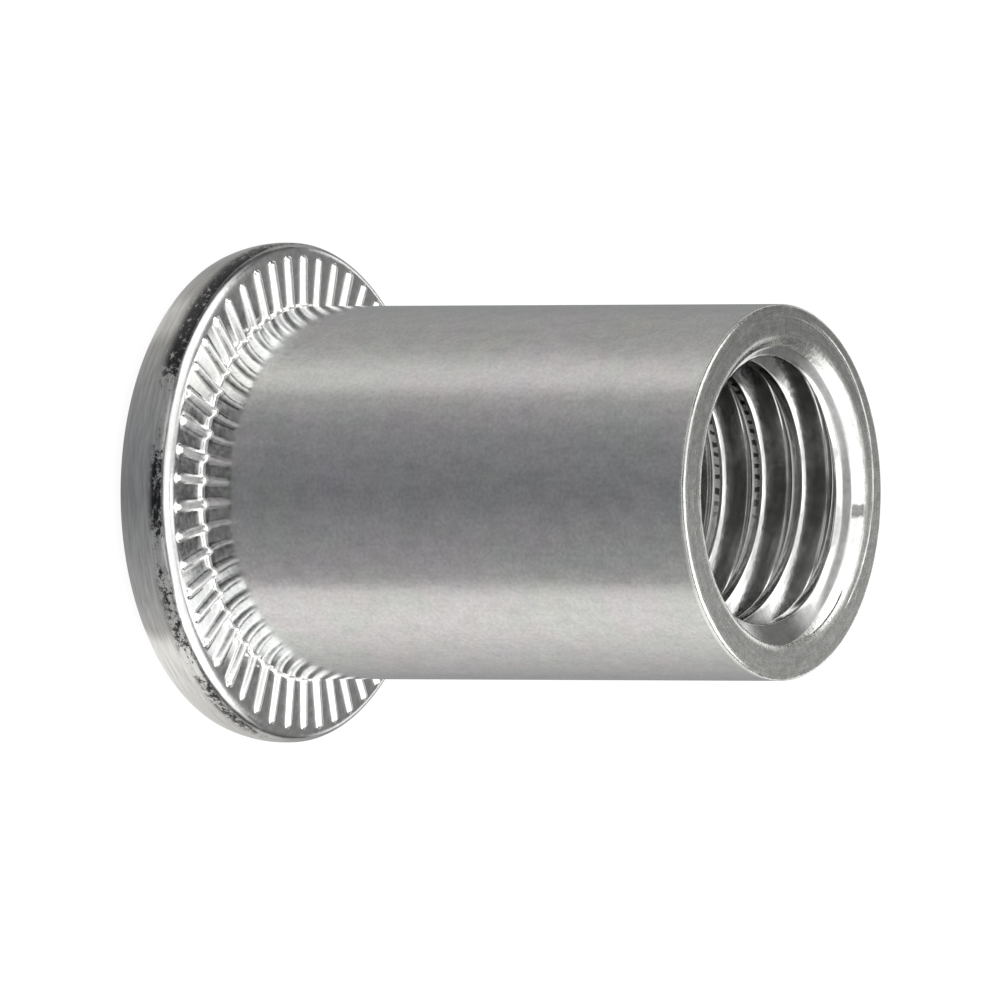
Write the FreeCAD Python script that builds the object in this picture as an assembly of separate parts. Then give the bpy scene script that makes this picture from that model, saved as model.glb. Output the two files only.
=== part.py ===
import FreeCAD, Part
import math
import os

# Blind rivet nut with a flat flange: a plain tube, threaded at its tail, smooth at its flange.
# Millimetres. The nut stands on the outer face of its flange, centred on +Z,
# and its threaded tail points up.

# Body
body_diameter = 12.0
body_length = 18.2            # from the underside of the flange to the tail's end face
tail_edge_bevel = 0.07        # small bevel round the outside of the tail's end face

# Flange, whose rim was left barrel-shaped by cold forming
flange_diameter = 16.1
flange_thickness = 2.3
rim_widest_height = 1.7       # height of the rim's widest circle
rim_bulge_radius = 2.9        # radius of the barrel shape, seen in section
rim_outer_edge_radius = 1.0   # rounding where the rim meets the outer face
rim_under_edge_bevel = 0.36   # bevel where the rim meets the underside
neck_bevel = 0.14             # small bevel in the corner of the underside and the body

# Serrations under the flange, which bite into the sheet and stop the nut from turning
rib_count = 50
rib_outer_diameter = 15.2     # circle on which the ribs end
rib_tip_length = 0.15         # length of the slope at a rib's outer end
rib_neck_gap = 0.03           # plain ring between the ribs and the neck's bevel
rib_base_width = 0.46
rib_crest_width = 0.16
rib_height_at_neck = 0.2
rib_height_at_tip = 0.14

# Internal metric thread, right-handed, at the tail
thread_diameter = 10.0
thread_pitch = 1.5
thread_length = 9.0           # from the tail's end face to the smooth chamber
thread_turn = 55.0            # angle at which the groove runs out at the end face
mouth_diameter = 10.12        # countersink at the tail's end face, at 45 degrees
mouth_step_depth = 0.32       # depth at which the countersink becomes flatter
mouth_angle = 130.0           # angle across the flatter part, which ends the first ridge

# Smooth chamber at the flange, whose thin wall folds when the nut is set
chamber_diameter = 10.3
chamber_shoulder_angle = 45.0  # slope of the step from the chamber to the thread
entry_bevel = 0.25             # bevel at the chamber's open end

# Depth that one shape is sunk into another, or run past it, so that they join or cut cleanly
overlap = 0.1
# The bore is divided into equal sectors, so each crest of the thread is a row of short faces
bore_sectors = 6

# Sizes that follow from those above
body_radius = body_diameter / 2
flange_radius = flange_diameter / 2
overall_length = flange_thickness + body_length
thread_radius = thread_diameter / 2
# In a metric thread the flanks meet at 60 degrees, and the crests and roots are cut short
flank_height = thread_pitch * math.cos(math.radians(30))
bore_radius = thread_radius - flank_height * 5 / 8
root_width = thread_pitch / 8
chamber_radius = chamber_diameter / 2
chamber_depth = overall_length - thread_length
up = FreeCAD.Vector(0, 0, 1)
origin = FreeCAD.Vector(0, 0, 0)


def on_section(radius, height):
    """Point of the half section, which lies in the plane of X and Z."""
    return FreeCAD.Vector(radius, 0, height)


def turned(corners):
    """Solid turned about Z from the straight-sided half section with these corners."""
    outline = Part.makePolygon([on_section(r, z) for r, z in corners + corners[:1]])
    return Part.Face(outline).revolve(origin, up, 360)


def arc(centre, radius, first_angle, last_angle):
    """Arc in the half section, whose angles are in radians from +X towards +Z."""
    points = []
    for angle in (first_angle, (first_angle + last_angle) / 2, last_angle):
        step = on_section(radius * math.cos(angle), radius * math.sin(angle))
        points.append(centre + step)
    return Part.Arc(*points).toShape()


def rim():
    """The rim's section: a barrel arc, and the smaller arc of the outer edge, which touches it."""
    bulge_centre = on_section(flange_radius - rim_bulge_radius, rim_widest_height)
    drop = rim_outer_edge_radius - rim_widest_height
    run = math.sqrt((rim_bulge_radius - rim_outer_edge_radius) ** 2 - drop ** 2)
    edge_centre = on_section(bulge_centre.x + run, rim_outer_edge_radius)
    touch_angle = math.atan2(drop, run)
    rise = flange_thickness - rim_under_edge_bevel - rim_widest_height
    top_angle = math.asin(rise / rim_bulge_radius)
    return [
        arc(edge_centre, rim_outer_edge_radius, -math.pi / 2, touch_angle),
        arc(bulge_centre, rim_bulge_radius, touch_angle, top_angle),
    ]


def blank():
    """The nut without its hole and its serrations."""
    rim_edges = rim()
    rim_bottom = rim_edges[0].Vertexes[0].Point
    rim_top = rim_edges[-1].Vertexes[-1].Point
    rest = Part.makePolygon([
        rim_top,
        on_section(rim_top.x - rim_under_edge_bevel, flange_thickness),
        on_section(body_radius + neck_bevel, flange_thickness),
        on_section(body_radius, flange_thickness + neck_bevel),
        on_section(body_radius, overall_length - tail_edge_bevel),
        on_section(body_radius - tail_edge_bevel, overall_length),
        on_section(0, overall_length),
        origin,
        rim_bottom,
    ])
    outline = Part.Wire(rim_edges + rest.Edges)
    return Part.Face(outline).revolve(origin, up, 360)


def rib_section(radius, height):
    """Corners of a rib's cross-section, which is sunk a little into the flange."""
    foot = flange_thickness - overlap
    crest = flange_thickness + height
    # The flanks run on below the underside at the same slope
    slope = (rib_base_width - rib_crest_width) / 2 / rib_height_at_neck
    half_crest = rib_crest_width / 2
    half_foot = half_crest + slope * (height + overlap)
    return [
        FreeCAD.Vector(radius, -half_foot, foot),
        FreeCAD.Vector(radius, half_foot, foot),
        FreeCAD.Vector(radius, half_crest, crest),
        FreeCAD.Vector(radius, -half_crest, crest),
    ]


def flat_face(corners):
    """Flat face with these corners."""
    return Part.Face(Part.makePolygon(corners + corners[:1]))


def rib():
    """One rib: a wedge that is highest at the body and slopes away at its outer end."""
    start = body_radius + neck_bevel + rib_neck_gap
    end = rib_outer_diameter / 2
    sections = [
        rib_section(start, rib_height_at_neck),
        rib_section(end - rib_tip_length, rib_height_at_tip),
        rib_section(end, 0),
    ]
    faces = [flat_face(sections[0]), flat_face(sections[-1])]
    for near, far in zip(sections, sections[1:]):
        for side in range(4):
            after = (side + 1) % 4
            faces.append(flat_face([near[side], near[after], far[after], far[side]]))
    return Part.Solid(Part.Shell(faces))


def serrations():
    """The ribs, evenly spaced round the underside of the flange."""
    first = rib()
    ribs = []
    for index in range(rib_count):
        copy = first.copy()
        copy.rotate(origin, up, 360 * index / rib_count)
        ribs.append(copy)
    return ribs


def tapped_bore():
    """The bore at the thread's minor diameter, as sectors that lie side by side."""
    start = chamber_depth - overlap
    length = thread_length + 2 * overlap
    angle = 360 / bore_sectors
    sectors = []
    for index in range(bore_sectors):
        sector = Part.makeCylinder(bore_radius, length, on_section(0, start), up, angle)
        sector.rotate(origin, up, angle * index)
        sectors.append(sector)
    return sectors


def chamber():
    """The smooth chamber, with the step up to the thread and the bevel at its open end."""
    step = (chamber_radius - bore_radius) / math.tan(math.radians(chamber_shoulder_angle))
    return turned([
        (0, -overlap),
        (chamber_radius + entry_bevel + overlap, -overlap),
        (chamber_radius, entry_bevel),
        (chamber_radius, chamber_depth - step),
        (bore_radius, chamber_depth),
        (0, chamber_depth),
    ])


def mouth():
    """The countersink at the threaded end, steep at the end face and then flatter."""
    outer = mouth_diameter / 2
    step_radius = outer - mouth_step_depth
    step_height = overall_length - mouth_step_depth
    depth = step_radius / math.tan(math.radians(mouth_angle / 2))
    return turned([
        (0, step_height - depth),
        (step_radius, step_height),
        (outer + overlap, overall_length + overlap),
        (0, overall_length + overlap),
    ])


def thread_groove():
    """The helical groove, run past both ends of the thread into the open."""
    turns = math.ceil(thread_length / thread_pitch) + 2
    start = overall_length + thread_pitch - turns * thread_pitch
    # The last value is the helix's taper
    path = Part.makeLongHelix(thread_pitch, turns * thread_pitch, bore_radius, 0)
    path.translate(on_section(0, start))
    inner_radius = bore_radius - 2 * overlap
    inner_width = root_width + 2 * (thread_radius - inner_radius) * math.tan(math.radians(30))
    corners = [
        on_section(inner_radius, start - inner_width / 2),
        on_section(thread_radius, start - root_width / 2),
        on_section(thread_radius, start + root_width / 2),
        on_section(inner_radius, start + inner_width / 2),
    ]
    sweep = Part.BRepOffsetAPI.MakePipeShell(path)
    sweep.setFrenetMode(True)
    sweep.add(Part.makePolygon(corners + corners[:1]))
    sweep.build()
    sweep.makeSolid()
    groove = sweep.shape()
    groove.rotate(origin, up, thread_turn)
    return groove


def rivet_nut():
    """The finished nut, one solid."""
    solid = blank().multiFuse(serrations())
    solid = solid.cut(tapped_bore() + [chamber(), mouth()])
    return solid.cut(thread_groove())


nut = rivet_nut()
print("solids", len(nut.Solids), "valid", nut.isValid(), "volume", round(nut.Volume, 2))
os.makedirs("parts", exist_ok=True)
nut.Solids[0].exportStep("parts/rivet_nut.step")
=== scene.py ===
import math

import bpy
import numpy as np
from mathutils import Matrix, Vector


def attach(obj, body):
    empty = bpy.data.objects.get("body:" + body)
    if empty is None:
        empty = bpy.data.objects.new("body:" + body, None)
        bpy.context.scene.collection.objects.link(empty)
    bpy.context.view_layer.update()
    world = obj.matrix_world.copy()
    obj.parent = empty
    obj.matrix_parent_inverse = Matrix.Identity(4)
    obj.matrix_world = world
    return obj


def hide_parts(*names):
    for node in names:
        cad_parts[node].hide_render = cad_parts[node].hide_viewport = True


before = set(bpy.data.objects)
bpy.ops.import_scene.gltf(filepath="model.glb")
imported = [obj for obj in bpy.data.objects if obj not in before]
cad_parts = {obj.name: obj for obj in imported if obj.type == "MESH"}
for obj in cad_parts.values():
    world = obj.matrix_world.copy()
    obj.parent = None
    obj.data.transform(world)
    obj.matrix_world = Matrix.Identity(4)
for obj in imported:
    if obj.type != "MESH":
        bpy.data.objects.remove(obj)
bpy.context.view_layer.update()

# A blind rivet nut of zinc-plated steel: one closed skin with rounded edges, slightly uneven
# serrations and a real thread, in five metals, on a white floor under soft studio light.
# The skin is worked out in millimetres, as the part's source is, and the scene is in metres.
# The front is the side of -Y, which faces the camera.

rng = np.random.default_rng(7)

MM = 0.001
TURN = 2 * math.pi

# Body and flange
BODY_R = 6.0
TAIL_Z = 20.5                 # height of the end face
FLANGE_R = 8.05
FLANGE_T = 2.3
WIDEST_Z = 1.7                # height of the rim's widest circle
BULGE_R = 2.9                 # radius of the rim's barrel shape, seen in section
OUTER_EDGE_R = 1.0
UNDER_EDGE_R = 0.43
TAIL_EDGE_R = 0.13
NECK_R = 0.13

# Serrations
RIBS = 50
RIB_END_R = 7.66
RIB_TIP = 0.12                # length of the slope at a rib's outer end
RIB_CREST = 0.13              # width of a rib's top
RIB_SPREAD = 0.75             # how far a rib's flank runs out for each millimetre of its height
RIB_HIGH = 0.165              # height at the body
RIB_LOW = 0.15                # height before the slope at the outer end
RIB_SINK = 0.004              # depth to which the rounded foot of a rib is sunk

# Thread
PITCH = 1.5
THREAD_R = 5.0
BORE_R = THREAD_R - PITCH * math.cos(math.radians(30)) * 5 / 8
THREAD_TURN = math.radians(55.0)  # direction in which the groove runs out at the end face

# Countersink, with the edge of the thread's first ridge below it
MOUTH_R = 5.0
MOUTH_STEP = 0.36             # depth at which it becomes flatter
MOUTH_FALL = 2.6              # how far the flatter part closes in for each millimetre of depth
MOUTH_SHIFT = 0.07            # how far it sits off centre, away from the front
RIDGE_R = 4.36
RIDGE_Z = 20.03
RIDGE_SHARE = 0.3             # share of that shift that the ridge's edge has

# Smooth chamber and the bevel at its open end
CHAMBER_R = 5.15
CHAMBER_TOP = 11.5            # height at which the thread begins
ENTRY = 0.25

# Widths over which corners are rounded
RIB_KNEE_ROUND = 0.03
RIB_CREST_ROUND = 0.035
RIB_FOOT_ROUND = 0.02
ROOT_ROUND = 0.05
THREAD_CREST_ROUND = 0.045
SHOULDER_ROUND = 0.03
MOUTH_STEP_ROUND = 0.02
RIDGE_ROUND = 0.035

# End face: a shallow line on a circle that is not quite centred, and fine turned rings
LINE_R = 5.36
LINE_SHIFT = 0.28
LINE_TOWARDS = math.radians(165)
LINE_DEEPEST = math.radians(95)  # side at which the line is deepest
LINE_DEPTH = 0.034
LINE_WIDTH = 0.04
WIDE_RINGS = 0.0016           # height of the rings that are further apart
WIDE_BEAT = 58                # radians of their wave in a millimetre
NARROW_RINGS = 0.0012
NARROW_BEAT = 97
RINGS_START = 0.08            # width at the outer edge over which line and rings set in
FACE_SINK = 0.004             # how far the face lies below the part's full height
LIP_Z = TAIL_Z - FACE_SINK - (WIDE_RINGS + NARROW_RINGS)

# The edge between the end face and the countersink is rounded over this width on the face
LIP_WIDTH = 0.2
LIP_R = LIP_WIDTH / (math.sqrt(2) - 1)

# Columns of the mesh round the nut, and steps over its roundings
PER_RIB = 14
FIRST_COLUMN = 1 - PER_RIB // 2
FINE = PER_RIB * RIBS
COARSE = FINE // 2
EDGE_STEPS = 14
RIM_STEPS = 8
NECK_STEPS = 5
TAIL_STEPS = 6
FACE_RINGS = 30

# Rows of the mesh in half a pitch of the thread, counted from the middle of a root
THREAD_ROWS = np.array([0, 0.08, 0.14, 0.48, 0.535, 0.562, 0.59, 0.65])
THREAD_LOW = 10.3
THREAD_HIGH = 19.6
ROW_STEP = 0.02               # distance between the rows of the countersink
ROW_SNAP = 0.02               # a row of the thread as near as this to its end joins the end

# Materials of the skin, in the order in which the nut gets them
BODY, RIM, SERRATED, FACE, THREAD = range(5)


# Small mathematical helpers

def smax(a, b, k):
    """Larger of the two, with the corner rounded over about k."""
    return 0.5 * (a + b + np.sqrt((a - b) ** 2 + k * k))


def smin(a, b, k):
    """Smaller of the two, with the corner rounded over about k."""
    return 0.5 * (a + b - np.sqrt((a - b) ** 2 + k * k))


def even(count):
    """Equally spaced directions round the axis, from the first column of the first rib."""
    return FIRST_COLUMN * TURN / FINE + np.arange(count) * TURN / count


def arc(centre_r, centre_z, radius, first, last, steps):
    """Points of an arc of the half section, angles in degrees from outward towards up."""
    angles = np.radians(np.linspace(first, last, steps + 1))
    return [(centre_r + radius * math.cos(a), centre_z + radius * math.sin(a)) for a in angles]


class Skin:
    """A closed surface made ring by ring, from the outer face up the outside and down the hole."""

    def __init__(self):
        self.points = []
        self.count = 0
        self.faces = []
        self.slots = []

    def add(self, radius, azimuth, height):
        """New points, and the numbers by which faces refer to them."""
        radius, azimuth, height = np.broadcast_arrays(radius, azimuth, height)
        self.points.append(np.stack([radius * np.cos(azimuth), radius * np.sin(azimuth), height], -1))
        first = self.count
        self.count += len(azimuth)
        return np.arange(first, self.count)

    def face(self, corners, slot):
        """A face, without corners that fall together."""
        kept = [c for i, c in enumerate(corners) if c != corners[i - 1]]
        if len(set(kept)) > 2:
            self.faces.append(kept)
            self.slots.append(slot)

    def band(self, a, b, slot):
        """Faces between two rings, of which one may have twice the other's columns."""
        a, b = list(a), list(b)
        if len(a) == len(b):
            for i in range(len(a)):
                j = (i + 1) % len(a)
                self.face([a[i], a[j], b[j], b[i]], slot)
        elif len(b) == 2 * len(a):
            for i in range(len(a)):
                j = (i + 1) % len(a)
                k = (2 * i + 2) % len(b)
                self.face([a[i], b[2 * i + 1], b[2 * i]], slot)
                self.face([a[i], a[j], b[2 * i + 1]], slot)
                self.face([a[j], b[k], b[2 * i + 1]], slot)
        else:
            for i in range(len(b)):
                j = (i + 1) % len(b)
                k = (2 * i + 2) % len(a)
                self.face([a[2 * i], a[2 * i + 1], b[i]], slot)
                self.face([a[2 * i + 1], b[j], b[i]], slot)
                self.face([a[2 * i + 1], a[k], b[j]], slot)

    def ring(self, last, radius, azimuth, height, slot):
        """A ring, joined on to the one before."""
        made = self.add(radius, azimuth, height)
        self.band(last, made, slot)
        return made

    def rings(self, last, profile, azimuth, slot):
        """Plain rings through the points of a profile."""
        for radius, height in profile:
            last = self.ring(last, radius, azimuth, height, slot)
        return last


# Rim

def under_edge():
    """Centre of the rounding between rim and underside, and its rise above the rim's widest circle."""
    rise = FLANGE_T - UNDER_EDGE_R - WIDEST_Z
    reach = math.sqrt((BULGE_R - UNDER_EDGE_R) ** 2 - rise ** 2)
    return FLANGE_R - BULGE_R + reach, rise, reach


def rim_profile():
    """The rim's section, from the outer face to the underside."""
    bulge_r = FLANGE_R - BULGE_R
    drop = OUTER_EDGE_R - WIDEST_Z
    run = math.sqrt((BULGE_R - OUTER_EDGE_R) ** 2 - drop ** 2)
    touch = math.degrees(math.atan2(drop, run))
    centre, rise, reach = under_edge()
    top = math.degrees(math.atan2(rise, reach))
    return (arc(bulge_r + run, OUTER_EDGE_R, OUTER_EDGE_R, -90, touch, RIM_STEPS)
            + arc(bulge_r, WIDEST_Z, BULGE_R, touch, top, RIM_STEPS)[1:]
            + arc(centre, FLANGE_T - UNDER_EDGE_R, UNDER_EDGE_R, top, 90, EDGE_STEPS)[1:])


def under_edge_fall(radius):
    """How far the underside lies below its flat part where the rounding of its edge begins."""
    centre = under_edge()[0]
    across = min(max(radius - centre, 0.0), UNDER_EDGE_R)
    return UNDER_EDGE_R - math.sqrt(UNDER_EDGE_R ** 2 - across ** 2)


# Serrations, whose ribs differ a little from one another

rib_height = 1 + rng.uniform(-0.10, 0.10, RIBS)
rib_width = 1 + rng.uniform(-0.10, 0.12, RIBS)
rib_shift = np.radians(rng.uniform(-0.16, 0.16, RIBS))
rib_end = rng.uniform(-0.04, 0.03, RIBS)


def crest_height(radius):
    """Height of a rib's crest, which falls towards its outer end."""
    start = BODY_R + NECK_R
    knee = RIB_END_R - RIB_TIP
    fall = RIB_HIGH + (RIB_LOW - RIB_HIGH) * (radius - start) / (knee - start)
    slope = RIB_LOW * (RIB_END_R - radius) / RIB_TIP
    return smin(fall, slope, RIB_KNEE_ROUND)


def rib_columns(radius, blend):
    """Directions of the mesh columns, which follow the ribs' edges where blend is 1."""
    # Just inside the edge of a rib's top, and just outside its foot
    inset = 0.01
    margin = 0.02
    least_rise = 0.05
    crest = (RIB_CREST / 2 - inset) / radius
    rise = max(float(crest_height(radius)), least_rise)
    foot = (RIB_CREST / 2 + RIB_SPREAD * rise + margin) / radius
    gap = math.pi / RIBS
    marks = [0, crest / 2, crest, crest + (foot - crest) / 3, crest + (foot - crest) * 2 / 3,
             foot, (foot + gap) / 2, gap]
    close = np.array([-mark for mark in marks[-2:0:-1]] + marks)
    plain = (np.arange(PER_RIB) + FIRST_COLUMN) * (TURN / RIBS / PER_RIB)
    step = close * blend + plain * (1 - blend)
    middle = np.arange(RIBS) * TURN / RIBS
    return (middle[:, None] + rib_shift[:, None] * blend + step[None, :]).ravel()


def rib_rise(radius, azimuth):
    """Height of the serrations above the underside."""
    index = np.arange(FINE) // PER_RIB
    middle = index * TURN / RIBS + rib_shift[index]
    off = np.abs((azimuth - middle + math.pi) % TURN - math.pi) * radius
    crest = crest_height(radius - rib_end[index]) * rib_height[index]
    half_base = (RIB_CREST / 2 + RIB_SPREAD * np.maximum(crest, 0)) * rib_width[index]
    flank = (half_base - off) / RIB_SPREAD
    return smax(smin(crest, flank, RIB_CREST_ROUND), 0.0, RIB_FOOT_ROUND) - RIB_SINK


# Hole

def thread_offset(azimuth, height):
    """Distance along the axis from the nearest root of the groove."""
    root = TAIL_Z + PITCH * (azimuth - THREAD_TURN) / TURN
    return (height - root + PITCH / 2) % PITCH - PITCH / 2


def mouth_radius(azimuth, height):
    """The countersink: steep at the end face, flatter below, and steep again at the first ridge's edge."""
    shift = MOUTH_SHIFT * np.sin(azimuth)
    steep = MOUTH_R + shift - (TAIL_Z - height)
    flat = MOUTH_R + shift - MOUTH_STEP - (TAIL_Z - MOUTH_STEP - height) * MOUTH_FALL
    ridge = RIDGE_R + shift * RIDGE_SHARE - (RIDGE_Z - height)
    return smin(steep, smax(flat, ridge, MOUTH_STEP_ROUND), MOUTH_STEP_ROUND)


def hole_radius(azimuth, height):
    """Radius of the hole's wall."""
    # The groove's root is flat over an eighth of the pitch, and its flanks meet at 60 degrees
    off_root = smax(np.abs(thread_offset(azimuth, height)) - PITCH / 16, 0.0, ROOT_ROUND)
    groove = THREAD_R - off_root * math.sqrt(3)
    wall = smax(groove, BORE_R, THREAD_CREST_ROUND)
    shoulder = np.minimum(CHAMBER_R, CHAMBER_R - (height - (CHAMBER_TOP - CHAMBER_R + BORE_R)))
    wall = smax(wall, shoulder, SHOULDER_ROUND)
    return smax(wall, mouth_radius(azimuth, height), RIDGE_ROUND)


def thread_block(skin, top_ring, bottom_ring):
    """The hole's wall between two rings, on rows that follow the thread."""
    steps = np.concatenate([THREAD_ROWS, [PITCH / 2], PITCH - THREAD_ROWS[:0:-1]])
    rows = len(steps)
    # A few turns more than fit, so that the rows reach both rings at every column
    turns = math.ceil((THREAD_HIGH - THREAD_LOW) / PITCH) + 3
    azimuth = even(COARSE)
    base = TAIL_Z - PITCH * (THREAD_TURN / TURN) - turns * PITCH
    index = np.arange(turns * rows + rows + 1)
    offsets = (index // rows) * PITCH + steps[index % rows]
    z = base + offsets[:, None] + PITCH * azimuth[None, :] / TURN
    number = np.empty(z.shape, int)
    for j in range(COARSE):
        column = z[:, j]
        below = column <= THREAD_LOW + ROW_SNAP
        above = column >= THREAD_HIGH - ROW_SNAP
        inside = ~below & ~above
        number[below, j] = bottom_ring[j]
        number[above, j] = top_ring[j]
        kept = column[inside]
        number[inside, j] = skin.add(hole_radius(azimuth[j], kept), np.full(len(kept), azimuth[j]), kept)
    for j in range(COARSE):
        if j + 1 < COARSE:
            left, right = number[:, j], number[:, j + 1]
        else:
            # The last column meets the first one a pitch further up
            left, right = number[:-rows, j], number[rows:, 0]
        for i in range(min(len(left), len(right)) - 1):
            skin.face([int(left[i + 1]), int(right[i + 1]), int(right[i]), int(left[i])], THREAD)


# End face

def face_height(radius, azimuth):
    """Height of the end face, with the line and the rings that the cut-off tool left on it."""
    line_r = LINE_R + LINE_SHIFT * np.cos(azimuth - LINE_TOWARDS)
    # The line fades out at the other side
    side = np.clip(0.6 + 0.8 * np.cos(azimuth - LINE_DEEPEST), 0, 1)
    line = LINE_DEPTH * np.exp(-((radius - line_r) / LINE_WIDTH) ** 2) * side
    wide = WIDE_RINGS * np.sin(radius * WIDE_BEAT + 0.8 * np.sin(azimuth * 3))
    narrow = NARROW_RINGS * np.sin(radius * NARROW_BEAT)
    inward = np.clip((BODY_R - TAIL_EDGE_R - radius) / RINGS_START, 0, 1)
    return TAIL_Z - FACE_SINK - (line + wide + narrow + WIDE_RINGS + NARROW_RINGS) * inward


# The skin, part by part

def add_rim(skin, azimuth, first):
    """The outer face and the rim, as far as the ribs' outermost ring."""
    on_outer_face = 6.2
    ribs_begin = 7.85
    profile = rim_profile()
    shown = [(on_outer_face, 0.0)] + profile[:-EDGE_STEPS]
    shown += [point for point in profile[-EDGE_STEPS:] if point[0] > ribs_begin]
    return skin.rings(first, shown, azimuth, RIM)


def add_ribs(skin, last):
    """Rings over the ribs, whose columns settle on the ribs' edges in the first three."""
    radii = [7.82, 7.77, 7.73, 7.70, 7.68, 7.66, 7.635, 7.61, 7.58, 7.54, 7.48, 7.38, 7.2, 6.9, 6.6,
             6.35, 6.18]
    blends = [0, 0.4] + [1] * (len(radii) - 2)
    for radius, blend in zip(radii, blends):
        azimuth = rib_columns(radius, blend)
        # Between the ribs, whose feet are sunk, this keeps to the underside
        rise = smax(rib_rise(radius, azimuth), 0, 0.001)
        last = skin.ring(last, radius, azimuth, FLANGE_T - under_edge_fall(radius) + rise, SERRATED)
    return last


def add_neck(skin, last):
    """The rounded corner between underside and body, and the first rings of the body."""
    azimuth = rib_columns(BODY_R + NECK_R, 1)
    foot = FLANGE_T + rib_rise(BODY_R + NECK_R, azimuth)
    for angle in np.radians(np.linspace(0, 90, NECK_STEPS + 1)):
        radius = BODY_R + NECK_R * (1 - math.sin(angle))
        last = skin.ring(last, radius, azimuth, foot + NECK_R * (1 - math.cos(angle)), SERRATED)
    # Each ring is more level than the one before, and its columns are more evenly spread
    for height, blend, level in ((2.72, 1, 0.6), (2.84, 0.6, 1), (3.0, 0.0, 1)):
        azimuth = rib_columns(BODY_R + NECK_R, blend)
        uneven = (foot + NECK_R + 0.03) * (1 - level)
        last = skin.ring(last, BODY_R, azimuth, height * level + uneven, BODY)
    return last


def add_tail(skin, azimuth, last):
    """The tail's edge, the end face and the lip of the countersink."""
    edge = arc(BODY_R - TAIL_EDGE_R, TAIL_Z - TAIL_EDGE_R, TAIL_EDGE_R, 0, 90, TAIL_STEPS)
    last = skin.rings(last, edge, azimuth, FACE)
    inner = MOUTH_R + LIP_WIDTH + MOUTH_SHIFT * np.sin(azimuth)
    for share in np.linspace(0.015, 1, FACE_RINGS):
        radius = (BODY_R - TAIL_EDGE_R) * (1 - share) + inner * share
        last = skin.ring(last, radius, azimuth, face_height(radius, azimuth), FACE)
    for angle in np.radians([7, 14, 21, 28, 36, 45]):
        radius = inner - LIP_R * math.sin(angle)
        last = skin.ring(last, radius, azimuth, LIP_Z - LIP_R * (1 - math.cos(angle)), FACE)
    return last


def add_hole(skin, azimuth, last):
    """The countersink, the thread and the chamber, as far as the edge of the outer face."""
    below_lip = 0.015
    start = LIP_Z - LIP_R * (1 - math.cos(math.radians(45))) - below_lip
    for height in np.arange(start, THREAD_HIGH + ROW_STEP * 0.5, -ROW_STEP):
        slot = FACE if height > TAIL_Z - MOUTH_STEP else THREAD
        last = skin.ring(last, hole_radius(azimuth, height), azimuth, height, slot)
    top = skin.ring(last, hole_radius(azimuth, THREAD_HIGH), azimuth, THREAD_HIGH, THREAD)
    bottom = skin.add(hole_radius(azimuth, THREAD_LOW), azimuth, THREAD_LOW)
    thread_block(skin, top, bottom)
    # The bevel's corners are slightly rounded
    chamber = [(CHAMBER_R, height) for height in (10.0, 8, 6, 4, 2, 0.6, ENTRY + 0.03)]
    bevel = [(CHAMBER_R + 0.02, ENTRY - 0.01), (CHAMBER_R + ENTRY - 0.03, 0.04),
             (CHAMBER_R + ENTRY - 0.005, 0.01)]
    return skin.rings(bottom, chamber + bevel, azimuth, THREAD)


def build_skin():
    """The nut's whole surface."""
    skin = Skin()
    azimuth = even(COARSE)
    first = skin.add(CHAMBER_R + ENTRY + 0.03, azimuth, 0.0)
    last = add_rim(skin, azimuth, first)
    last = add_ribs(skin, last)
    last = add_neck(skin, last)
    body = [(BODY_R, height) for height in (3.2, 5, 8, 11, 14, 17, 19.5, 20.3)]
    last = skin.rings(last, body, azimuth, BODY)
    last = add_tail(skin, azimuth, last)
    last = add_hole(skin, azimuth, last)
    skin.band(last, first, THREAD)
    return skin


def nut_object(materials):
    """The nut as one mesh object."""
    skin = build_skin()
    mesh = bpy.data.meshes.new("plated_nut")
    points = np.concatenate(skin.points) * MM
    mesh.from_pydata(points.tolist(), [], [[int(c) for c in f] for f in skin.faces])
    for material in materials:
        mesh.materials.append(material)
    mesh.polygons.foreach_set("material_index", skin.slots)
    mesh.polygons.foreach_set("use_smooth", [True] * len(skin.faces))
    mesh.validate()
    mesh.update()
    nut = bpy.data.objects.new("plated_nut", mesh)
    bpy.context.scene.collection.objects.link(nut)
    return nut


# Node helpers

def opaque(colour):
    """A grey level or a colour, as a colour with its cover."""
    if isinstance(colour, (int, float)):
        colour = (colour, colour, colour)
    return (*colour, 1)


def by_side(stops, span=360):
    """Stops of a ramp by the side of the nut, in degrees from the front towards +X."""
    return [(degrees / span + 0.5, level) for degrees, level in stops]


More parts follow.
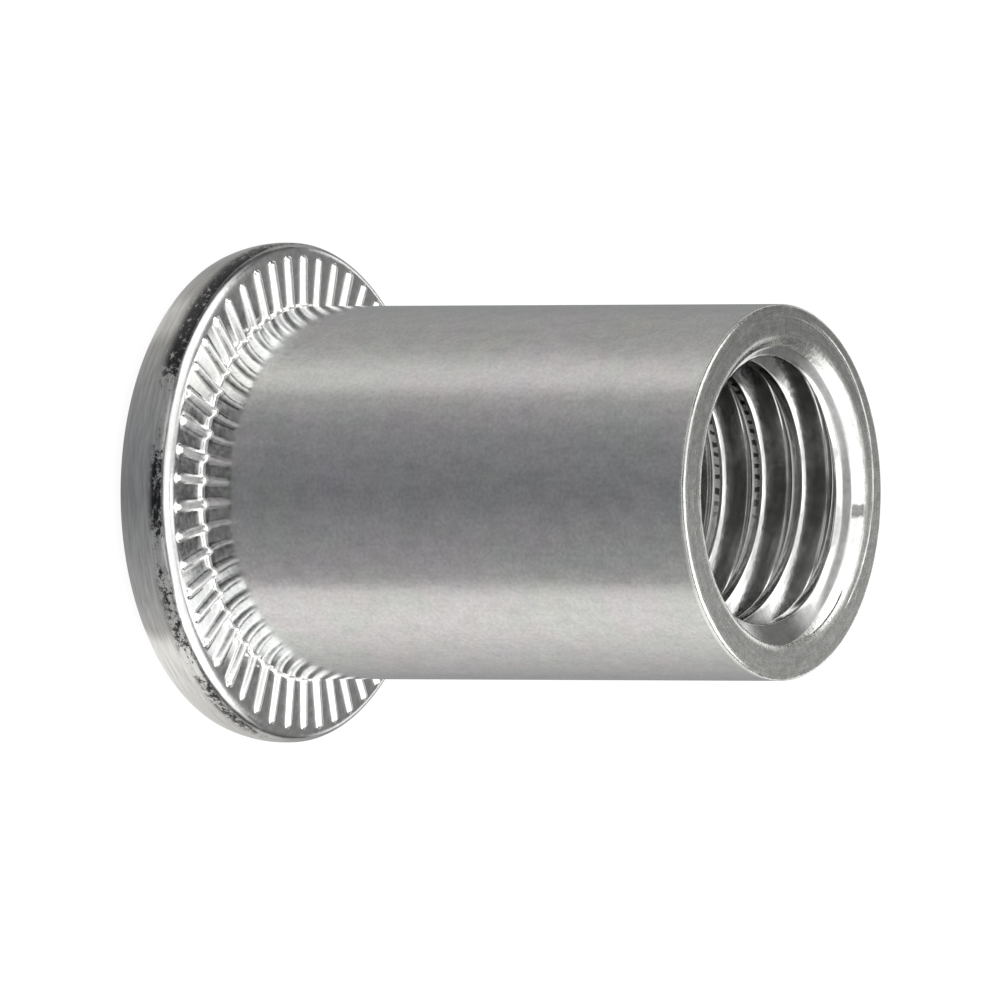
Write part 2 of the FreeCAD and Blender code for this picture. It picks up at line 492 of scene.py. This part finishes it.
class Nodes:
    """Makes the nodes of one tree and links them."""

    def __init__(self, tree):
        self.tree = tree
        tree.nodes.clear()

    def put(self, value, socket):
        """Gives a socket its value, which may be another node's output."""
        if isinstance(value, bpy.types.NodeSocket):
            self.tree.links.new(value, socket)
        else:
            socket.default_value = value

    def add(self, kind, inputs=None, **settings):
        """A node with these inputs and settings."""
        node = self.tree.nodes.new(kind)
        for name, value in settings.items():
            setattr(node, name, value)
        for name, value in (inputs or {}).items():
            self.put(value, node.inputs[name])
        return node

    def math(self, operation, a, b=0.0):
        """Result of one operation on one or two values."""
        return self.add("ShaderNodeMath", {0: a, 1: b}, operation=operation).outputs[0]

    def times(self, first, *others):
        """Product of all these values."""
        for value in others:
            first = self.math("MULTIPLY", first, value)
        return first

    def plus(self, first, *others):
        """Sum of all these values."""
        for value in others:
            first = self.math("ADD", first, value)
        return first

    def weighed(self, a, share_a, b, share_b):
        """Sum of two values, each times its share."""
        return self.plus(self.times(a, share_a), self.times(b, share_b))

    def step(self, value, low, high, to_low=0.0, to_high=1.0):
        """Smooth step from to_low to to_high as value goes from low to high."""
        return self.add("ShaderNodeMapRange", {"Value": value, "From Min": low, "From Max": high,
                                               "To Min": to_low, "To Max": to_high},
                        interpolation_type="SMOOTHSTEP").outputs["Result"]

    def noise(self, vector, scale, detail=3.0, roughness=0.55):
        """Noise whose largest marks are about one metre divided by scale across."""
        return self.add("ShaderNodeTexNoise", {"Vector": vector, "Scale": scale, "Detail": detail,
                                               "Roughness": roughness}).outputs["Fac"]

    def stretched(self, vector, scale):
        """A place with its X, Y and Z each times a number, to draw out a noise along an axis."""
        return self.add("ShaderNodeVectorMath", {0: vector, 1: scale}, operation="MULTIPLY").outputs[0]

    def place(self, kind="Object"):
        """Place on the object or, in the world, direction."""
        return self.add("ShaderNodeTexCoord").outputs[kind]

    def split(self, vector):
        """X, Y and Z of a place or a direction."""
        return self.add("ShaderNodeSeparateXYZ", {0: vector}).outputs

    def angle(self, x, y):
        """Angle round the axis from the front towards +X."""
        return self.math("ARCTAN2", x, self.times(y, -1.0))

    def side(self, x, y):
        """The same angle as a share of a turn, with the front at 0.5."""
        return self.plus(self.math("DIVIDE", self.angle(x, y), TURN), 0.5)

    def ramp(self, value, stops):
        """Colour by a value, from pairs of a place on the ramp and a grey level or a colour."""
        node = self.add("ShaderNodeValToRGB", {"Fac": value})
        elements = node.color_ramp.elements
        while len(elements) < len(stops):
            elements.new(0.5)
        for element, (position, colour) in zip(elements, stops):
            element.position = position
            element.color = opaque(colour)
        return node.outputs["Color"]

    def mix(self, share, colour, other, mode="MIX"):
        """The first colour, with a share of the other mixed into it."""
        node = self.add("ShaderNodeMix", {0: share}, data_type="RGBA", blend_type=mode)
        for index, value in ((6, colour), (7, other)):
            linked = isinstance(value, bpy.types.NodeSocket)
            self.put(value if linked else opaque(value), node.inputs[index])
        return node.outputs[2]

    def tinted(self, colour, tint):
        """Product of two colours."""
        return self.mix(1.0, colour, tint, "MULTIPLY")


# Materials of the nut

def new_material(name):
    """An empty material and its nodes."""
    material = bpy.data.materials.new(name)
    material.use_nodes = True
    return material, Nodes(material.node_tree)


def metal(name):
    """A metal's nodes, with its shader left to be linked."""
    material, nodes = new_material(name)
    shader = nodes.add("ShaderNodeBsdfPrincipled", {"Metallic": 1.0})
    nodes.add("ShaderNodeOutputMaterial", {"Surface": shader.outputs[0]})
    return material, nodes, shader, nodes.place()


def dress(nodes, shader, colour, roughness, relief, depth):
    """Links a metal's colour, its roughness and its relief, whose depth is in metres."""
    bump = nodes.add("ShaderNodeBump", {"Height": relief, "Distance": depth, "Strength": 1.0})
    nodes.put(colour, shader.inputs["Base Color"])
    nodes.put(roughness, shader.inputs["Roughness"])
    nodes.put(bump.outputs[0], shader.inputs["Normal"])


def body_metal():
    """Brushed plating with faint clouds of colour."""
    material, nodes, shader, place = metal("zinc_body")
    clouds = nodes.noise(place, 330, 2.0)
    colour = nodes.ramp(clouds, [(0.30, (0.655, 0.640, 0.670)), (0.45, (0.660, 0.640, 0.650)),
                                 (0.58, (0.630, 0.650, 0.645)), (0.72, (0.660, 0.655, 0.635))])
    mottle = nodes.noise(nodes.stretched(place, (1, 1, 0.7)), 2100, 4.0)
    streak = nodes.noise(nodes.stretched(place, (1, 1, 0.06)), 5200, 2.0)
    grain = nodes.weighed(mottle, 0.75, streak, 0.25)
    colour = nodes.tinted(colour, nodes.ramp(grain, [(0.30, 0.90), (0.5, 0.99), (0.70, 1.06)]))
    fine = nodes.noise(place, 8200, 2.0, 0.6)
    colour = nodes.tinted(colour, nodes.ramp(fine, [(0.28, 0.90), (0.5, 1.0), (0.72, 1.10)]))
    # Near the flange the surface is smoother, and its colour is darkened there as painted shade in the
    # corner between body and flange
    height = nodes.split(place)["Z"]
    painted_corner_shade = nodes.step(height, 3.1 * MM, 3.6 * MM)
    colour = nodes.tinted(colour, nodes.ramp(painted_corner_shade, [(0.0, 0.83), (1.0, 1.0)]))
    base = nodes.step(height, 3.1 * MM, 4.2 * MM, 0.07, 0.185)
    roughness = nodes.plus(base, nodes.step(grain, 0.3, 0.7, 0.0, 0.06))
    dress(nodes, shader, colour, roughness, nodes.weighed(mottle, 0.7, streak, 0.3), 0.0035 * MM)
    return material


def rim_metal():
    """Plating of the rim, with a dark, broken streak beside the underside that is a painted reflection,
    and painted light and shade by side.
    """
    material, nodes, shader, place = metal("zinc_rim")
    axes = nodes.split(place)
    height = axes["Z"]
    side = nodes.side(axes["X"], axes["Y"])
    streak = nodes.noise(nodes.stretched(place, (1, 1, 9)), 900, 4.0, 0.6)
    blot = nodes.noise(nodes.stretched(place, (1, 1, 1.4)), 4200, 5.0, 0.8)
    wave = nodes.noise(nodes.stretched(place, (1, 1, 0.3)), 420, 1.0)
    # How much of the painted dark streak, a painted reflection of the dark horizon, is dark, and how wide
    # it is in millimetres
    shares = [(-180, 0.85), (-90, 0.85), (-76, 1.0), (-62, 1.09), (-31, 1.09), (-24, 0.66), (-12, 0.70),
              (-7, 1.05), (6, 1.05), (13, 0.68), (20, 0.90), (38, 0.92), (44, 0.72), (50, 1.0), (68, 0.98),
              (84, 0.65), (180, 0.85)]
    widths = [(-180, 0.3), (-90, 0.35), (-60, 0.62), (-32, 0.70), (-20, 0.4), (0, 0.36), (20, 0.45),
              (40, 0.42), (50, 0.34), (70, 0.3), (180, 0.3)]
    share = nodes.ramp(side, by_side(shares))
    width = nodes.ramp(side, by_side(widths))
    low = nodes.math("SUBTRACT", 2.07 * MM, nodes.times(width, MM))
    low = nodes.math("SUBTRACT", low, nodes.times(wave, 0.2 * MM))
    fade = nodes.times(width, 0.6 * MM)
    above_low = nodes.step(nodes.math("SUBTRACT", height, low), nodes.times(fade, -0.25), fade)
    below_top = nodes.step(height, 2.02 * MM, 2.11 * MM, 1.0, 0.0)
    cover = nodes.math("SUBTRACT", nodes.plus(blot, nodes.times(wave, 0.1)), nodes.times(share, 0.56))
    # Mask of the painted dark streak, a painted reflection
    dark = nodes.times(above_low, below_top, nodes.step(cover, -0.02, 0.10, 1.0, 0.0))
    colour = nodes.ramp(streak, [(0.3, (0.56, 0.56, 0.55)), (0.5, (0.71, 0.71, 0.70)),
                                 (0.7, (0.85, 0.85, 0.84))])
    # Painted light and shade by side: darker beside the streak's widest part and at both ends of the side
    # that is seen, lighter a little towards +X from the front
    patches = [(-105, 0.72), (-88, 0.95), (-70, 0.74), (-38, 0.74), (-20, 0.98), (10, 1.04), (30, 1.12),
               (48, 0.95), (60, 0.84), (78, 1.0), (100, 0.76)]
    colour = nodes.tinted(colour, nodes.ramp(side, by_side(patches)))
    # The painted reflection darkens the colour along the streak
    colour = nodes.mix(nodes.times(dark, 0.97), colour, (0.03, 0.03, 0.035))
    roughness = nodes.plus(nodes.step(streak, 0.3, 0.7, 0.15, 0.24), nodes.times(dark, 0.15))
    relief = nodes.math("SUBTRACT", streak, nodes.times(dark, 0.5))
    dress(nodes, shader, colour, roughness, relief, 0.006 * MM)
    return material


def serrated_metal():
    """Bright plating, whose ribs carry a painted highlight and the face between them painted shade, the
    ribs also less smooth.
    """
    material, nodes, shader, place = metal("zinc_serrations")
    grain = nodes.noise(place, 4200, 3.0)
    colour = nodes.ramp(grain, [(0.3, (0.76, 0.76, 0.75)), (0.7, (0.86, 0.86, 0.85))])
    proud = nodes.step(nodes.split(place)["Z"], (FLANGE_T + 0.02) * MM, (FLANGE_T + 0.12) * MM)
    # Painted highlight on the ribs and painted shade on the face between them
    colour = nodes.tinted(colour, nodes.ramp(proud, [(0.0, 0.90), (1.0, 1.16)]))
    roughness = nodes.plus(nodes.step(grain, 0.3, 0.7, 0.13, 0.23), nodes.times(proud, 0.20))
    dress(nodes, shader, colour, roughness, grain, 0.006 * MM)
    return material


def face_metal():
    """Turned plating of the end face, with marks drawn out round the axis."""
    material, nodes, shader, place = metal("zinc_end_face")
    axes = nodes.split(place)
    x, y, height = axes["X"], axes["Y"], axes["Z"]
    radius = nodes.math("SQRT", nodes.plus(nodes.math("POWER", x, 2.0), nodes.math("POWER", y, 2.0)))
    turned = nodes.add("ShaderNodeCombineXYZ", {"X": nodes.times(radius, 9.0), "Y": x, "Z": y}).outputs[0]
    rings = nodes.noise(turned, 1400, 4.0, 0.6)
    fleck = nodes.noise(place, 5200, 2.0, 0.6)
    both = nodes.weighed(rings, 0.55, fleck, 0.45)
    colour = nodes.ramp(both, [(0.32, (0.66, 0.66, 0.63)), (0.5, (0.75, 0.755, 0.72)),
                               (0.7, (0.84, 0.84, 0.82))])
    # Painted light and shade: the face is darker at one side and lighter at the other
    across = nodes.step(x, -5.5 * MM, 5.5 * MM)
    colour = nodes.tinted(colour, nodes.ramp(across, [(0.0, 0.76), (0.5, 0.97), (1.0, 1.22)]))
    # A short dark mark across the countersink
    rough_x = nodes.plus(x, nodes.times(fleck, 0.2 * MM))
    off_dark_mark = nodes.math("ABSOLUTE", nodes.math("SUBTRACT", rough_x, 0.69 * MM))
    dark_mark = nodes.times(nodes.step(off_dark_mark, 0.14 * MM, 0.28 * MM, 1.0, 0.0),
                       nodes.step(y, 4.0 * MM, 4.2 * MM),
                       nodes.step(height, 20.40 * MM, 20.47 * MM, 1.0, 0.0))
    colour = nodes.mix(nodes.times(dark_mark, 0.85), colour, (0.10, 0.10, 0.10))
    dress(nodes, shader, colour, nodes.step(both, 0.3, 0.7, 0.2, 0.32), both, 0.02 * MM)
    return material


def thread_metal():
    """Plating of the hole, with short dark spots in a row along the crests, a painted reflection of the
    opposite wall's grooves.
    """
    material, nodes, shader, place = metal("zinc_thread")
    chatter = nodes.noise(nodes.stretched(place, (1, 1, 1.6)), 3300, 3.0, 0.6)
    fine = nodes.noise(nodes.stretched(place, (1, 1, 5)), 1500, 3.0, 0.6)
    both = nodes.weighed(chatter, 0.5, fine, 0.5)
    colour = nodes.ramp(both, [(0.33, (0.53, 0.53, 0.525)), (0.5, (0.63, 0.63, 0.62)),
                               (0.68, (0.71, 0.71, 0.70))])
    axes = nodes.split(place)
    height = axes["Z"]
    turn = nodes.math("DIVIDE", nodes.math("ARCTAN2", axes["Y"], axes["X"]), TURN)
    # The middle of a crest is half a pitch from the roots
    climb = nodes.math("DIVIDE", nodes.math("SUBTRACT", height, TAIL_Z * MM), PITCH * MM)
    phase = nodes.math("SUBTRACT", climb, nodes.math("SUBTRACT", turn, THREAD_TURN / TURN))
    off_crest = nodes.math("ABSOLUTE", nodes.math("SUBTRACT", nodes.math("FRACT", phase), 0.5))
    row = nodes.step(off_crest, 0.045, 0.075, 1.0, 0.0)
    spots_a_turn = 66
    slip = nodes.times(nodes.noise(place, 900, 2.0), 9.0)
    beat = nodes.math("SINE", nodes.plus(nodes.times(turn, TURN * spots_a_turn), slip))
    dark_mark = nodes.step(nodes.plus(beat, nodes.times(chatter, 3.0)), 1.6, 2.0)
    # They are at one side of the hole, between the chamber and the first ridge
    where = nodes.ramp(nodes.plus(turn, 0.5), [(0.70, 0.0), (0.75, 1.0), (0.90, 1.0), (0.94, 0.0)])
    deep = nodes.times(nodes.step(height, 17.3 * MM, 17.8 * MM, 1.0, 0.0),
                       nodes.step(height, 12.2 * MM, 12.7 * MM))
    # Painted reflection: dark spots along the crests in place of the opposite wall's grooves
    painted_reflection_spots = nodes.times(row, dark_mark, where, deep)
    colour = nodes.mix(nodes.times(painted_reflection_spots, 0.9), colour, (0.03, 0.03, 0.03))
    dress(nodes, shader, colour, nodes.step(both, 0.3, 0.7, 0.11, 0.17), both, 0.005 * MM)
    return material


# Floor and card

def plane(name, inner, outer, sides, height):
    """A flat disc or ring that is part of the stage, in millimetres."""
    azimuth = even(sides)
    points = [(outer * math.cos(a) * MM, outer * math.sin(a) * MM, height * MM) for a in azimuth]
    if inner:
        points += [(inner * math.cos(a) * MM, inner * math.sin(a) * MM, height * MM) for a in azimuth]
        faces = [[i, (i + 1) % sides, sides + (i + 1) % sides, sides + i] for i in range(sides)]
    else:
        faces = [list(range(sides))]
    mesh = bpy.data.meshes.new(name)
    mesh.from_pydata(points, [], faces)
    made = bpy.data.objects.new(name, mesh)
    bpy.context.scene.collection.objects.link(made)
    return made


def floor_material():
    """A floor that looks white and keeps the nut's shadow, but hardly lights the nut."""
    material, nodes = new_material("pale_floor")
    path = nodes.add("ShaderNodeLightPath").outputs
    seen = nodes.math("MAXIMUM", path["Is Camera Ray"], path["Is Glossy Ray"])
    seen = nodes.math("MAXIMUM", seen, path["Is Transmission Ray"])
    plain = nodes.add("ShaderNodeBsdfDiffuse", {"Color": opaque(0.12)})
    white = nodes.add("ShaderNodeEmission", {"Color": opaque(1), "Strength": nodes.times(seen, 0.93)})
    both = nodes.add("ShaderNodeAddShader", {0: plain.outputs[0], 1: white.outputs[0]})
    nodes.add("ShaderNodeOutputMaterial", {"Surface": both.outputs[0]})
    return material


def card_grey(level):
    """A grey that is slightly cool where it is dark and slightly warm where it is light."""
    warm = min(max((level - 0.25) / 0.25, 0), 1)
    return (level * (0.985 + 0.02 * warm), level * (1 - 0.008 * warm), level * (1.035 - 0.075 * warm))


def card_material():
    """Grey and white card round the nut, light at its two sides."""
    material, nodes = new_material("table_card")
    axes = nodes.split(nodes.place())
    x, y = axes["X"], axes["Y"]
    angle = nodes.angle(x, y)
    away = nodes.math("SQRT", nodes.plus(nodes.times(x, x), nodes.times(y, y)))
    near = nodes.math("DIVIDE", BODY_R * MM, away)
    # The side of the body that shows this point of the card, found in a few steps, so that the bands
    # in the body come out straight
    side = nodes.times(angle, 0.5)
    for _ in range(4):
        bend = nodes.math("ARCSINE", nodes.times(near, nodes.math("SINE", side)))
        side = nodes.times(nodes.plus(angle, bend), 0.5)
    half_turn = nodes.plus(nodes.math("DIVIDE", side, math.pi), 0.5)
    # Level of grey by that side
    levels = [(-90, 0.34), (-80, 0.33), (-64, 0.44), (-54, 0.46), (-47, 0.55), (-41, 0.80), (-35, 0.80),
              (-31, 0.50), (-22, 0.35), (-12, 0.28), (0, 0.235), (12, 0.32), (23, 0.40), (29, 0.48),
              (32, 0.92), (42, 0.98), (50, 0.88), (60, 0.68), (79, 0.38), (90, 0.34)]
    greys = [(degrees, card_grey(level)) for degrees, level in levels]
    grey = nodes.ramp(half_turn, by_side(greys, 180))
    light = nodes.add("ShaderNodeEmission", {"Color": grey, "Strength": 1.0})
    nodes.add("ShaderNodeOutputMaterial", {"Surface": light.outputs[0]})
    return material


# Light and camera

def light_world():
    """A bright dome above a dark horizon, brighter at both sides and dim behind."""
    world = bpy.data.worlds.new("studio")
    bpy.context.scene.world = world
    world.use_nodes = True
    nodes = Nodes(world.node_tree)
    axes = nodes.split(nodes.place("Generated"))
    side = nodes.side(axes["X"], axes["Y"])
    climb = nodes.math("DIVIDE", nodes.math("ARCSINE", axes["Z"]), math.pi / 2)

    def zone(around, upward, strength):
        """Light in a range of directions, with a share of it by side and one by degrees of height."""
        share = nodes.ramp(side, by_side(around))
        share_up = nodes.ramp(climb, [(degrees / 90, level) for degrees, level in upward])
        return nodes.times(share, share_up, strength)

    side_heights = [(17, 0), (27, 1), (50, 1), (60, 0)]
    zones = [
        # The dome, and weaker light from high up behind
        zone([(-150, 0.1), (-112, 1), (120, 1), (155, 0.1)], [(33, 0), (43, 1), (90, 1)], 1.15),
        zone([(-150, 1), (-112, 0), (120, 0), (155, 1)], [(52, 0), (66, 1), (90, 1)], 0.17),
        # Brighter at the left and at the right
        zone([(-124, 0), (-108, 1), (-66, 1), (-54, 0)], side_heights, 2.0),
        zone([(46, 0), (57, 1), (114, 1), (130, 0)], side_heights, 2.0),
        # Two low patches beside the front
        zone([(-50, 0), (-40, 1), (-18, 1), (-10, 0), (10, 0), (18, 1), (36, 1), (46, 0)],
             [(2, 0), (6, 1), (22, 1), (28, 0)], 0.6),
        # Dim light all round, and a strip near the horizon behind
        zone([(-180, 1), (-150, 1), (-110, 0.6), (0, 0.35), (110, 0.6), (150, 1), (180, 1)],
             [(3, 0.5), (20, 1), (90, 1)], 0.23),
        zone([(-160, 1), (-150, 0), (150, 0), (160, 1)], [(8, 1), (17, 0)], 1.25),
    ]
    shade = nodes.add("ShaderNodeBackground", {"Color": opaque(1), "Strength": nodes.plus(*zones)})
    nodes.add("ShaderNodeOutputWorld", {"Surface": shade.outputs[0]})


def set_lamp():
    """A weak round lamp in front of the nut and above it, which gives it a soft shadow."""
    data = bpy.data.lights.new("key", "AREA")
    data.shape = "DISK"
    data.size = 0.25
    data.energy = 0.25
    lamp = bpy.data.objects.new("key", data)
    lamp_place = Vector((0.05, -0.2, 0.45))
    lamp_turn = lamp_place.to_track_quat("Z", "Y").to_matrix().to_4x4()
    lamp.matrix_world = Matrix.Translation(lamp_place) @ lamp_turn
    bpy.context.scene.collection.objects.link(lamp)


def set_camera():
    """A distant camera in front of the nut, turned so that the nut's axis points to the right."""
    tilt = math.radians(32.3)
    distance = 0.833
    target = Vector((0.24, 0, 9.81)) * MM
    back = Vector((0, -math.cos(tilt), math.sin(tilt)))
    right = Vector((0, math.sin(tilt), math.cos(tilt)))
    above = Vector((-1, 0, 0))
    data = bpy.data.cameras.new("view")
    data.sensor_width = 36
    data.lens = 936
    camera = bpy.data.objects.new("view", data)
    turn = Matrix((right, above, back)).transposed().to_4x4()
    camera.matrix_world = Matrix.Translation(target + back * distance) @ turn
    bpy.context.scene.collection.objects.link(camera)
    bpy.context.scene.camera = camera


nut = nut_object([body_metal(), rim_metal(), serrated_metal(), face_metal(), thread_metal()])
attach(nut, "root")
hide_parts("rivet_nut")

floor = plane("floor", 0, 3000, 64, 0.0)
floor.data.materials.append(floor_material())
card = plane("table_card", 6.95, 90, 96, 0.01)
card.data.materials.append(card_material())
card.visible_camera = False
card.visible_diffuse = False
card.visible_shadow = False

light_world()
set_lamp()
set_camera()
bpy.context.scene.view_settings.view_transform = "Standard"
